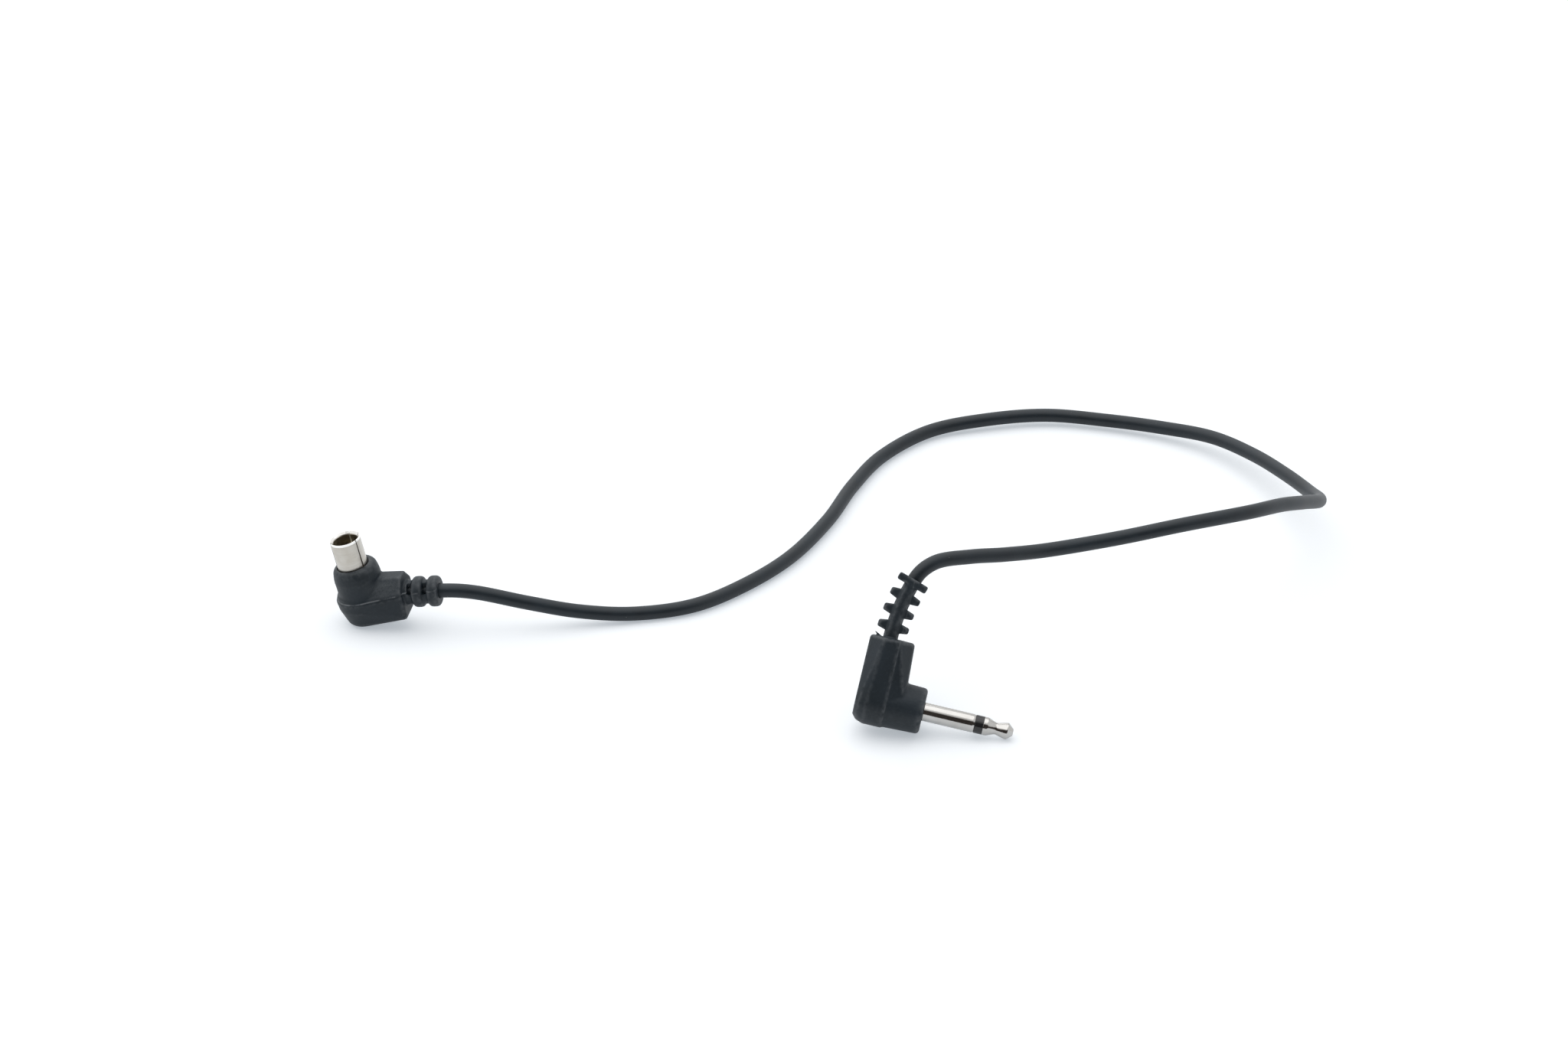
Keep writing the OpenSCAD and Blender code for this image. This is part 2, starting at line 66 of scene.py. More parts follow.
# %% Place the camera
target = np.array([0.0161, 0.0415, 0.0])
distance, look_down = 0.679, math.radians(30)
camera_data = bpy.data.cameras.new("camera")
camera_data.lens, camera_data.sensor_width = 108.8, 36.0
camera_data.clip_start, camera_data.clip_end = 0.02, 20.0
camera = bpy.data.objects.new("camera", camera_data)
camera.location = target + distance * np.array([0, -math.cos(look_down), math.sin(look_down)])
camera.rotation_euler = (math.pi / 2 - look_down, 0, 0)
bpy.context.scene.collection.objects.link(camera)
bpy.context.scene.camera = camera
print("camera at", [round(v, 3) for v in camera.location])

# %% [markdown]
# ## Turning arrays into meshes
#
# Most pieces here are surfaces worked out with numpy: rows of points, each row
# joined to the next by four-sided faces. One helper numbers those faces and
# another hands points and faces to Blender in bulk, which is far quicker than
# adding them one at a time.

# %% Mesh helpers
def grid_faces(rows, columns, start=0, close=False):
    """Four-sided faces of a grid whose columns close into a ring.

    Point (i, j) has number start + i * columns + j, and face (i, j) joins
    (i, j), (i, j+1), (i+1, j+1), (i+1, j), with j+1 wrapped round. With close,
    the last row joins the first as well.
    """
    i, j = np.meshgrid(np.arange(rows if close else rows - 1), np.arange(columns),
                       indexing="ij")
    below, right = (i + 1) % rows, (j + 1) % columns
    corners = [i * columns + j, i * columns + right,
               below * columns + right, below * columns + j]
    return start + np.stack(corners, axis=-1).reshape(-1, 4)


def cap_faces(ring, centre, flip=False):
    """Triangles from each edge of a closed ring of point numbers to a centre."""
    ring = np.asarray(ring)
    after = np.roll(ring, -1)
    middle = np.full_like(ring, centre)
    first, second = (after, ring) if flip else (ring, after)
    return np.stack([first, second, middle], axis=-1)


def signed_volume(points, face_groups):
    """A sixth of the sum of a . (b x c) over every triangle of every face."""
    total = 0.0
    for group in face_groups:
        a = points[group[:, 0]]
        for k in range(1, group.shape[1] - 1):
            b, c = points[group[:, k]], points[group[:, k + 1]]
            total += np.einsum("ij,ij->", a, np.cross(b, c))
    return total / 6


def put_mesh(name, points, face_groups, smooth=True, sharp=None):
    """A mesh object at the origin, from points in metres and arrays of faces.

    A closed surface whose volume comes out negative is inside out, so all its
    faces are turned. Edges that bend by more than sharp degrees stay crisp.
    """
    points = np.asarray(points, float)
    if signed_volume(points, face_groups) < 0:
        face_groups = [group[:, ::-1] for group in face_groups]
    mesh = bpy.data.meshes.new(name)
    sizes = np.concatenate([np.full(len(g), g.shape[1]) for g in face_groups])
    loops = np.concatenate([np.asarray(g).ravel() for g in face_groups])
    mesh.vertices.add(len(points))
    mesh.loops.add(len(loops))
    mesh.polygons.add(len(sizes))
    mesh.vertices.foreach_set("co", points.astype(np.float32).ravel())
    mesh.loops.foreach_set("vertex_index", loops.astype(np.int32))
    starts = np.concatenate([[0], np.cumsum(sizes)[:-1]])
    mesh.polygons.foreach_set("loop_start", starts.astype(np.int32))
    mesh.polygons.foreach_set("use_smooth", np.full(len(sizes), smooth))
    mesh.update(calc_edges=True)
    mesh.validate()
    if sharp:
        mesh.set_sharp_from_angle(angle=math.radians(sharp))
    piece = bpy.data.objects.new(name, mesh)
    bpy.context.scene.collection.objects.link(piece)
    return piece


# %% [markdown]
# ## The cord
#
# The cord is one limp, round, two-millimetre lead. It leaves the coaxial plug
# straight, comes down to the table, runs in an open S, rises round the far loop
# and comes back over to the jack plug. A smooth curve through chosen points, a
# Catmull-Rom spline, gives the line: it passes through every point and its
# direction never jumps. The same points are the route of the CAD model's cord.

# %% The cord's route, in metres
def turn(x, y, z):
    """Rotation about x, then y, then z, in degrees, as one matrix."""
    (cx, cy, cz), (sx, sy, sz) = np.cos(np.radians([x, y, z])), np.sin(np.radians([x, y, z]))
    about_x = np.array([[1, 0, 0], [0, cx, -sx], [0, sx, cx]])
    about_y = np.array([[cy, 0, sy], [0, 1, 0], [-sy, 0, cy]])
    about_z = np.array([[cz, -sz, 0], [sz, cz, 0], [0, 0, 1]])
    return about_z @ about_y @ about_x


MM = 0.001
pc_at, pc_turn = np.array([-42, 14.1, 3.95]) * MM, turn(1.2, -12.7, -10.5)
jack_at, jack_turn = np.array([34.8, -14.4, 3.16]) * MM, turn(59, 10.2, -8.7)

# The coaxial plug's strain relief droops from the end of the plug's leg.
leg_len, relief_len, droop = 6.4, 4.9, math.radians(4)
pc_out = np.array([math.cos(droop), 0, -math.sin(droop)])
pc_exit = pc_at + pc_turn @ (np.array([leg_len, 0, 0]) + relief_len * pc_out) * MM

# The jack plug's strain relief bends along an arc from the end of its leg.
relief_x, relief_y, bend, bend_r = -6.7, 8.2, math.radians(18.4), 27.3
jack_exit = jack_at + jack_turn @ np.array(
    [relief_x + bend_r * (1 - math.cos(bend)), relief_y + bend_r * math.sin(bend), 0]) * MM
pc_way, jack_way = pc_turn @ pc_out, jack_turn @ np.array([math.sin(bend), math.cos(bend), 0])

route = np.array([
    [-26.2, 12.1, 5.8], [-19, 12.3, 4], [-12, 13.2, 2.1], [-4.5, 14.2, 1.15],
    [3.5, 16.5, 1.05], [10.5, 22, 1.05], [17, 29.8, 1.05], [22.3, 40, 1.05],
    [26, 50, 1.05], [30.5, 59, 1.05], [37.5, 66.2, 1.2], [46, 69.2, 1.5],
    [55, 70.6, 1.5], [64, 69, 1.5], [72, 66.2, 1.8], [79, 62, 2.5],
    [84.5, 55.4, 3.2], [88.5, 47.5, 4.3], [91, 39.5, 6], [91.4, 32, 9],
    [88.5, 25, 12.7], [84.5, 18.5, 16], [79, 12, 18.5], [70, 7.5, 19.2],
    [61, 5.4, 18.3], [51.8, 3.2, 17.8], [45.7, 0.4, 18.7], [41, -1.7, 19.6],
    [36.3, -3.8, 20]]) * MM
# The first and last stop only steer the curve, so that it leaves each plug straight.
pc_steer, jack_steer = 10 * MM, 7 * MM
stops = np.vstack([route[0] - pc_steer * pc_way, pc_exit, route, jack_exit,
                   route[-1] - jack_steer * jack_way])


def catmull_rom(stops, steps):
    """Points and directions along the smooth curve through the inner stops.

    Between b and c, with neighbours a and d and a share t from 0 to 1:
    half of 2b + t(c - a) + t^2(2a - 5b + 4c - d) + t^3(3b - a - 3c + d).
    The direction is its derivative over t, made one long.
    """
    a, b, c, d = (stops[k:len(stops) - 3 + k, None] for k in range(4))
    t = (np.arange(steps) / steps)[None, :, None]
    square, cube = 2 * a - 5 * b + 4 * c - d, 3 * b - a - 3 * c + d
    place = 0.5 * (2 * b + t * (c - a) + t ** 2 * square + t ** 3 * cube)
    way = 0.5 * ((c - a) + 2 * t * square + 3 * t ** 2 * cube)
    end = stops[-2]
    end_way = 0.5 * (stops[-1] - stops[-3])
    place = np.vstack([place.reshape(-1, 3), end])
    way = np.vstack([way.reshape(-1, 3), end_way])
    return place, way / np.linalg.norm(way, axis=1, keepdims=True)


cord_line, cord_way = catmull_rom(stops, steps=14)

# %% Sweep the cord
def tube(line, way, radius, sides):
    """Rings of points round a line: centre + r (cos a * side + sin a * up).

    side is level, square to the direction and to the vertical; up completes
    the right-handed set, so the rings never twist.
    """
    up = np.array([0, 0, 1]) - way[:, 2:] * way
    up /= np.linalg.norm(up, axis=1, keepdims=True)
    side = np.cross(way, up)
    a = np.linspace(0, 2 * math.pi, sides, endpoint=False)[None, :, None]
    rings = line[:, None] + radius * (np.cos(a) * side[:, None] + np.sin(a) * up[:, None])
    return rings.reshape(-1, 3)


CORD_R, CORD_SIDES = 0.992 * MM, 28
points = tube(cord_line, cord_way, CORD_R, CORD_SIDES)
rings = len(cord_line)
points = np.vstack([points, cord_line[:1], cord_line[-1:]])
count = rings * CORD_SIDES
cord = put_mesh("sync_cord", points, [
    grid_faces(rings, CORD_SIDES)[:, ::-1],
    cap_faces(np.arange(CORD_SIDES), count),
    cap_faces(np.arange(CORD_SIDES) + count - CORD_SIDES, count + 1, flip=True)], sharp=60)
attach(cord, "root")
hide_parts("cord")
print("sync_cord points:", len(points))

# %% [markdown]
# ## Softened mouldings
#
# The CAD mouldings have the right shape but knife-sharp edges. Real vinyl comes
# out of its mould with every edge a little round, and where the collar runs into
# the leg the two melt together. Bevels would have to be chosen edge by edge, so
# a copy is rebuilt on a fine, even grid of small faces and relaxed: flat faces
# stay flat and edges, inner corners and joins all soften alike.

# %% Where a moulding's edges are
FULL_EDGE_MM = 0.006  # a point this far proud of its neighbours is fully on an edge


def mark_edges(mesh, passes=14):
    """Store "edge" on each point: 0 on flats and hollows, up to 1 on outward edges.

    A point on an outward edge stands proud of the mean of its neighbours: the
    height is (point - mean) . normal, in millimetres. It is then averaged with
    its neighbours a few times, so the uneven grid doesn't show, and divided by
    FULL_EDGE_MM.
    """
    count = len(mesh.vertices)
    place, normal = np.empty(3 * count, np.float32), np.empty(3 * count, np.float32)
    mesh.vertices.foreach_get("co", place)
    mesh.vertices.foreach_get("normal", normal)
    place, normal = place.reshape(-1, 3), normal.reshape(-1, 3)
    ends = np.empty(2 * len(mesh.edges), np.int32)
    mesh.edges.foreach_get("vertices", ends)
    one, two = ends.reshape(-1, 2).T
    both, other = np.concatenate([one, two]), np.concatenate([two, one])
    near = np.bincount(both, minlength=count).clip(1)

    def mean(values):
        return np.bincount(both, values[other], minlength=count) / near

    middle = np.stack([mean(place[:, k]) for k in range(3)], axis=1)
    height = ((place - middle) * normal).sum(axis=1)
    for _ in range(passes):
        height = 0.5 * (height + mean(height))
    edge = (height / FULL_EDGE_MM).clip(0, 1)
    store = mesh.attributes.new("edge", "FLOAT", "POINT")
    store.data.foreach_set("value", edge.astype(np.float32))
    print("points on edges:", int((edge > 0.4).sum()), "of", count)


# %% Soften the two mouldings
def soften(name, node, voxel, passes):
    """A rounded copy of a CAD node, with faces about voxel millimetres across.

    Each relaxing pass moves a point half way to the mean of its neighbours. The
    copy is worked on in millimetres, because the grid can't be finer than 0.1
    thousandths of a metre, and is scaled back at the end.
    """
    mesh = nodes[node].data.copy()
    places = np.empty(3 * len(mesh.vertices), np.float32)
    mesh.vertices.foreach_get("co", places)
    mesh.vertices.foreach_set("co", places / MM)
    work = bmesh.new()
    work.from_mesh(mesh)
    bmesh.ops.remove_doubles(work, verts=work.verts, dist=0.001)
    work.to_mesh(mesh)
    work.free()
    draft = bpy.data.objects.new(name + "_draft", mesh)
    bpy.context.scene.collection.objects.link(draft)
    grid = draft.modifiers.new("grid", "REMESH")
    grid.mode, grid.voxel_size, grid.use_smooth_shade = "VOXEL", voxel, True
    relax = draft.modifiers.new("relax", "SMOOTH")
    relax.factor, relax.iterations = 0.5, passes
    made = bpy.data.meshes.new_from_object(
        draft.evaluated_get(bpy.context.evaluated_depsgraph_get()))
    bpy.data.objects.remove(draft)
    mark_edges(made)
    places = np.empty(3 * len(made.vertices), np.float32)
    made.vertices.foreach_get("co", places)
    made.vertices.foreach_set("co", places * MM)
    made.update()
    made.name = name
    piece = bpy.data.objects.new(name, made)
    bpy.context.scene.collection.objects.link(piece)
    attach(piece, "root")
    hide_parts(node)
    print(name, "faces:", len(made.polygons))
    return piece


pc_moulding = soften("pc_moulding", "pc_housing", voxel=0.09, passes=18)
jack_moulding = soften("jack_moulding", "jack_housing", voxel=0.108, passes=7)

# %% [markdown]
# ## Turned contacts
#
# The jack plug's barrel, ring and tip are turned on a lathe, so each is one
# profile spun about the plug's axis. A turned edge is never perfectly sharp: the
# tool and the plating leave a small round that catches a bright line of light.
# So each corner of a profile becomes a short curve before it is spun.

# %% Profiles with rounded corners
def rounded(profile, reach, steps=4):
    """An open outline [[along, out], ...] whose inner corners are curves.

    Each corner is cut back by reach on both sides, at most 0.4 of the shorter
    side, and a parabola joins the cuts: (1 - t)^2 before + 2 t (1 - t) corner +
    t^2 after. One more point on each side, 1.2 cuts away, keeps the straight
    stretch beside it evenly shaded.
    """
    profile = np.asarray(profile, float)
    corner = profile[1:-1]
    back, ahead = profile[:-2] - corner, profile[2:] - corner
    back_len = np.linalg.norm(back, axis=1, keepdims=True)
    ahead_len = np.linalg.norm(ahead, axis=1, keepdims=True)
    back, ahead = back / back_len, ahead / ahead_len
    cut = np.minimum(np.reshape(reach, (-1, 1)) + 0 * back_len,
                     0.4 * np.minimum(back_len, ahead_len))
    before, after = corner + back * cut, corner + ahead * cut
    t = np.linspace(0, 1, steps + 1)[None, :, None]
    curve = ((1 - t) ** 2 * before[:, None] + 2 * t * (1 - t) * corner[:, None]
             + t ** 2 * after[:, None])
    bends = np.concatenate([(corner + 1.2 * back * cut)[:, None], curve,
                            (corner + 1.2 * ahead * cut)[:, None]], axis=1)
    return np.vstack([profile[:1], bends.reshape(-1, 2), profile[-1:]])


def turned_piece(name, node, profile, at, axes, sides=96):
    """Spin a profile: at + along x + out (cos a y + sin a z), with a round the axis.

    A profile that starts and ends on the axis is closed there by one point at
    each end. Any other ends where it starts, and closes into a ring.
    """
    solid = profile[0, 1] == 0
    rows = profile[1:-1] if solid else profile[:-1]
    a = np.linspace(0, 2 * math.pi, sides, endpoint=False)[None]
    along, out = rows[:, :1], rows[:, 1:]
    local = np.stack([along + 0 * a, out * np.cos(a), out * np.sin(a)], axis=-1).reshape(-1, 3)
    groups = [grid_faces(len(rows), sides, close=not solid)]
    if solid:
        ends = np.array([[profile[0, 0], 0, 0], [profile[-1, 0], 0, 0]])
        count = len(local)
        local = np.vstack([local, ends])
        groups += [cap_faces(np.arange(sides), count, flip=True),
                   cap_faces(np.arange(sides) + count - sides, count + 1)]
    piece = put_mesh(name, at + local * MM @ axes.T, groups, sharp=40)
    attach(piece, "root")
    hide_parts(node)
    print(name, "points:", len(local))
    return piece


# %% Barrel, ring and tip of the jack plug
barrel = turned_piece("barrel", "jack_sleeve", rounded(
    [[3, 0.8], [-1.7, 0.8], [-1.7, 2.1], [-1.2, 2.1], [-1.2, 1.5], [-0.7, 1.5], [-0.7, 1.08],
     [-0.2, 1.08], [-0.2, 1.25], [6.52, 1.25], [6.8, 1.17], [6.8, 0.8], [3, 0.8]], 0.05),
    jack_at, jack_turn)
ring = turned_piece("insulating_ring", "jack_insulator", rounded(
    [[3, 0.45], [-1.7, 0.45], [-1.7, 0.8], [6.8, 0.8], [6.8, 1.235], [7.95, 1.235],
     [7.95, 0.45], [3, 0.45]], 0.04), jack_at, jack_turn)
tip = turned_piece("tip", "jack_tip", rounded(
    [[-3.4, 0], [-3.4, 0.6], [-3.2, 0.75], [-2.9, 0.75], [-2.9, 0.45], [7.95, 0.45],
     [7.95, 1.235], [8.5, 1.235], [9.05, 1.0], [9.45, 0.85], [9.7, 0.79], [9.9, 0.83],
     [10.5, 1.0], [11.15, 1.14], [11.25, 1.13], [11.95, 0.5], [12, 0.44], [12, 0]],
    [0.03, 0.05, 0.05, 0.03, 0.03, 0.04, 0.1, 0.2, 0.2, 0.2, 0.2, 0.2, 0.03, 0.03, 0.03, 0.03]),
    jack_at, jack_turn)

# %% [markdown]
# ## The slit sleeve
#
# The coaxial plug's sleeve is a tube with four fine saw cuts, which turn it into
# spring fingers. Each finger is the sleeve's rounded section swept from one cut
# to the next. A saw cut has flat, parallel sides, so at a radius r the finger
# starts an angle of arcsin(w / r) past the cut's middle, with w half the cut's
# width there. The cuts close a little towards the mouth, where the fingers lean in.
# The ring below and the four fingers are five closed shells in one mesh, and one
# that faced the other way would not show, so their volumes must agree in sign.

# %% One spring finger
CUT_SPAN, CUT_HALF = [5.1, 9.55], [0.11, 0.06]  # mm up the sleeve, and w there


def finger(section, cut, next_cut, columns=30):
    """One finger: its points and its faces, two of them flat on the saw cuts.

    Point (i, j) is row i of the section, at out (cos a, sin a) and its height,
    with a running evenly from cut + arcsin(w / out) to next_cut less the same.
    """
    along, out = section[:-1, 0], section[:-1, 1]
    half = np.interp(along, CUT_SPAN, CUT_HALF)
    inset = np.arcsin(half / out)
    share = np.linspace(0, 1, columns)[None]
    start, end = np.radians(cut) + inset[:, None], np.radians(next_cut) - inset[:, None]
    a = start + (end - start) * share
    points = np.stack([out[:, None] * np.cos(a), out[:, None] * np.sin(a),
                       along[:, None] + 0 * a], axis=-1).reshape(-1, 3)
    rows = len(along)
    i, j = np.meshgrid(np.arange(rows), np.arange(columns - 1), indexing="ij")
    below = (i + 1) % rows
    skin = np.stack([i * columns + j, i * columns + j + 1, below * columns + j + 1,
                     below * columns + j], axis=-1).reshape(-1, 4)
    first = np.arange(rows)[None] * columns
    return points, [skin, first, (first + columns - 1)[:, ::-1]]


# %% Sleeve with four spring fingers
SLEEVE_SIDES = 96
section = rounded([[5.1, 1.98], [5.1, 2.125], [9.45, 2.125], [9.45, 2.02], [9.05, 1.675],
                   [7.55, 1.675], [7.55, 1.85], [5.1, 1.85], [5.1, 1.98]],
                  [0.02, 0.07, 0.03, 0.12, 0.04, 0.04, 0.02])
base = rounded([[3, 1.85], [1.4, 1.85], [1.4, 2.3], [1.9, 2.3], [1.9, 2.125], [5.1, 2.125],
                [5.1, 1.85], [3, 1.85]], 0.03)[:-1]
around = np.linspace(0, 2 * math.pi, SLEEVE_SIDES, endpoint=False)[None]
points = np.stack([base[:, 1:] * np.cos(around), base[:, 1:] * np.sin(around),
                   base[:, :1] + 0 * around], axis=-1).reshape(-1, 3)
groups = [grid_faces(len(base), SLEEVE_SIDES, close=True)]
cuts = [34, 86, 214, 332, 34 + 360]  # degrees; the last is the first, one turn on
shells = [signed_volume(points, groups)]
for cut, next_cut in zip(cuts[:-1], cuts[1:]):
    piece_points, piece_groups = finger(section, cut, next_cut)
    shells.append(signed_volume(piece_points, piece_groups))
    groups += [group + len(points) for group in piece_groups]
    points = np.vstack([points, piece_points])
sleeve = put_mesh("slit_sleeve", pc_at + points * MM @ pc_turn.T, groups, sharp=40)
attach(sleeve, "root")
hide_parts("pc_sleeve")
print("slit_sleeve points:", len(points), "volumes in mm3:", [round(v, 2) for v in shells])
if min(shells) * max(shells) <= 0:
    raise ValueError("one shell of the slit sleeve is inside out")

# %% [markdown]
# ## Writing materials as arithmetic
#
# Blender's materials are graphs of small nodes. Written by hand they are long
# to read, so two small classes do it: Value wraps one output of a node, and
# arithmetic on it adds Math nodes; Finish holds one material and adds any other
# node from its kind, its settings and its inputs.

# %% Shader helpers
class Value:
    """One output of a shader node. Arithmetic on it adds Math nodes."""

    def __init__(self, tree, socket):
        self.tree, self.socket = tree, socket

    def math(self, operation, *terms):
        node = self.tree.nodes.new("ShaderNodeMath")
        node.operation = operation
        for entry, term in zip(node.inputs, terms):
            connect(self.tree, term, entry)
        return Value(self.tree, node.outputs[0])

    def __add__(self, other): return self.math("ADD", self, other)
    def __sub__(self, other): return self.math("SUBTRACT", self, other)
    def __rsub__(self, other): return self.math("SUBTRACT", other, self)
    def __mul__(self, other): return self.math("MULTIPLY", self, other)
    def __truediv__(self, other): return self.math("DIVIDE", self, other)
    def __pow__(self, other): return self.math("POWER", self, other)
    __radd__, __rmul__ = __add__, __mul__

    def clip(self, low, high):
        """0 at low and under, 1 at high and over, and even between them."""
        share = (self - low) / (high - low)
        return share.math("MINIMUM", share.math("MAXIMUM", share, 0.0), 1.0)


def connect(tree, term, entry):
    """Feed a socket from a Value, or set it to a number, vector or colour."""
    if isinstance(term, Value):
        tree.links.new(term.socket, entry)
    elif entry.type == "RGBA" and len(term) == 3:
        entry.default_value = (*term, 1.0)
    else:
        entry.default_value = term


class Finish:
    """One material. Fixed numbers go straight on to the shader's own sockets."""

    def __init__(self, name, **fixed):
        self.material = bpy.data.materials.new(name)
        self.material.use_nodes = True
        self.tree = self.material.node_tree
        self.shader = self.tree.nodes["Principled BSDF"]
        for socket, number in fixed.items():
            self.feed(socket.replace("_", " "), number)
        self.place = self.node("TexCoord", out="Object")

    def feed(self, socket, term):
        connect(self.tree, term, self.shader.inputs[socket])

    def node(self, kind, settings=None, inputs=None, out=0):
        """Any other node, from its kind, settings, inputs and wanted output."""
        node = self.tree.nodes.new("ShaderNode" + kind)
        for key, setting in (settings or {}).items():
            setattr(node, key, setting)
        for key, term in (inputs or {}).items():
            connect(self.tree, term, node.inputs[key])
        return Value(self.tree, node.outputs[out])

    def noise(self, scale, detail=3.0, place=None):
        """Soft blotches from 0 to 1, about 1/scale metres apart."""
        return self.node("TexNoise", inputs={
            "Vector": place or self.place, "Scale": scale, "Detail": detail,
            "Roughness": 0.5})

    def blend(self, mask, below, above):
        """The colour below where mask is 0 and the colour above where it is 1."""
        return self.node("Mix", {"data_type": "RGBA"}, {0: mask, 6: below, 7: above}, out=2)

    def bump(self, height, depth, normal=None):
        """Tilt the surface as if height, from 0 to 1, stood depth metres proud."""
        inputs = {"Height": height, "Distance": depth, "Strength": 1.0}
        if normal is not None:
            inputs["Normal"] = normal
        return self.node("Bump", inputs=inputs)

    def stretch(self, origin, turned, scale):
        """Coordinates centred on a plug, along its own axes, scaled per axis."""
        moved = self.node("VectorMath", {"operation": "SUBTRACT"},
                          {0: self.place, 1: tuple(origin)})
        along = [self.node("VectorMath", {"operation": "DOT_PRODUCT"},
                           {0: moved, 1: tuple(turned[:, k] * scale[k])}, out=1)
                 for k in range(3)]
        return self.node("CombineXYZ", inputs=dict(enumerate(along)))

    def wear(self, *pieces):
        """Give this material to pieces, in place of whatever they had."""
        for piece in pieces:
            piece.data.materials.clear()
            piece.data.materials.append(self.material)


# %% [markdown]
# ## Black moulded vinyl
#
# The plugs are moulded in soft PVC. It isn't a true black: the skin has a fine
# orange-peel texture that scatters a cool grey sheen, and handling leaves dull
# patches and a few pale specks of dust. Patches and peel are noise, broad and
# fine. Specks are the middles of scattered cells, cut to a tiny radius, because
# a noise cut to a threshold gives flakes and not dots.

# %% Specks of dust
DUST_TONE = (0.30, 0.31, 0.32)


def specks(finish, spacing, radius):
    """1 on small dots, each near the middle of a cell spacing metres wide.

    The distance to the nearest cell's middle is 0 there; it is measured in
    cells, so the dots' radius is divided by the spacing.
    """
    distance = finish.node("TexVoronoi", {"feature": "F1"}, {
        "Vector": finish.place, "Scale": 1 / spacing}, out="Distance")
    return 1 - distance.clip(0.6 * radius / spacing, radius / spacing)


# %% Layers of the vinyl
VINYL_DARK, VINYL_LIGHT = (0.007, 0.013, 0.018), (0.012, 0.020, 0.028)
# Of the next two tones, the grain's also stands in for light falling from above.
PEBBLE_TONE, GRAIN_AND_TOPLIGHT_TONE = (0.024, 0.033, 0.042), (0.062, 0.072, 0.081)
# The next tone is partly wear and partly a painted highlight on outward edges.
WORN_AND_HIGHLIT_EDGE_TONE = (0.105, 0.115, 0.125)


def vinyl_finish(name, part_line, seam_highlight_tone, grained_and_lit=None):
    """Satin black vinyl, with the seam where the mould's halves met.

    part_line gives, for the finish, the distance in metres from the plane of
    the seam. The seam stands 0.02 mm proud, fades out 0.12 mm to each side, and
    is broken where noise falls low, because flash tears off unevenly. The third
    argument is the paler tone laid along it, a painted highlight on its edges.
    Outward edges, by the mesh's own "edge" attribute, are painted paler: partly
    wear from handling, partly a painted highlight on their small rounds. The last
    argument gives a mask of the faces that the mould left coarser; they get a
    grain and a paler tone, partly painted light falling on them from above. Each
    layer lies over the last: below + (above - below) * mask.
    """
    made = Finish(name, Specular_IOR_Level=0.35)
    patches = made.noise(260, detail=4.0)
    pebbles = made.noise(2600)
    dust = specks(made, spacing=0.0022, radius=0.00005)
    off = part_line(made)
    ridge = 1 - off.math("ABSOLUTE", off).clip(0.00003, 0.00012)
    seam = ridge * made.noise(900).clip(0.38, 0.6)
    edge = made.node("Attribute", {"attribute_name": "edge"}, out="Fac")
    # Outward edges are painted paler: partly wear from handling, partly a painted highlight.
    worn_and_highlit_edges = edge.clip(0.08, 0.7) * made.noise(1300, detail=4.0).clip(0.32, 0.62)
    shade = made.blend(patches.clip(0.3, 0.7), VINYL_DARK, VINYL_LIGHT)
    shade = made.blend(pebbles.clip(0.5, 0.75) * 0.35, shade, PEBBLE_TONE)
    if grained_and_lit:
        grain = made.noise(5200).clip(0.35, 0.7)
        # Grain, and a paler tone painted here as the light from above on the upper sides.
        grain_and_painted_light = grained_and_lit(made) * (0.45 + 0.55 * grain)
        shade = made.blend(grain_and_painted_light, shade, GRAIN_AND_TOPLIGHT_TONE)
    shade = made.blend(worn_and_highlit_edges * 0.8, shade, WORN_AND_HIGHLIT_EDGE_TONE)
    # The seam's paler tone is a painted highlight along the parting line.
    shade = made.blend(seam * 0.75, shade, seam_highlight_tone)
    made.feed("Base Color", made.blend(dust * 0.6, shade, DUST_TONE))
    made.feed("Roughness", 0.44 + 0.16 * patches + 0.15 * dust)
    relief = made.bump(pebbles, depth=0.00002)
    made.feed("Normal", made.bump(seam, depth=0.00002, normal=relief))
    return made


# %% Vinyl for both plugs
def off_plane(at, axis, place_mm):
    """A function of a finish: how far a point is past a plane across an axis.

    The distance is point . axis - (at . axis + place), in metres.
    """
    offset = float(np.dot(at, axis)) + place_mm * MM
    def measure(finish):
        along = finish.node("VectorMath", {"operation": "DOT_PRODUCT"},
                            {0: finish.place, 1: tuple(float(v) for v in axis)}, out=1)
        return along - offset
    return measure


def upper_sides(finish):
    """1 on the coaxial plug's upper half, between the collar and the strain relief,
    where grain and a paleness painted as light from above are laid.

    Each clip fades the mask in or out over a stretch along or up the leg.
    """
    along = off_plane(pc_at, pc_turn[:, 0], 0)(finish)
    up = off_plane(pc_at, pc_turn[:, 2], 0)(finish)
    band = up.clip(0.5 * MM, 1.3 * MM) * (1 - up.clip(2.4 * MM, 3.2 * MM))
    return along.clip(1.4 * MM, 4.0 * MM) * (1 - along.clip(6.3 * MM, 6.6 * MM)) * band


# The third value of each is the seam's paler tone, a painted highlight along the parting line.
pc_vinyl = vinyl_finish("black_vinyl_sync_plug", off_plane(pc_at, pc_turn[:, 2], 0.7),
                        (0.20, 0.215, 0.23), upper_sides)
jack_vinyl = vinyl_finish("black_vinyl_jack_plug", off_plane(jack_at, jack_turn[:, 0], -5.25),
                          (0.075, 0.084, 0.093))
print("nodes in the two vinyls:", len(pc_vinyl.tree.nodes), len(jack_vinyl.tree.nodes))

# %% [markdown]
# ## The cord's jacket
#
# The jacket is extruded, not moulded, so it is smoother and glossier than the
# plugs and carries one long highlight. Its own finish is a darker tone, a lower
# roughness with a slow haze along it, and the same rare dust.

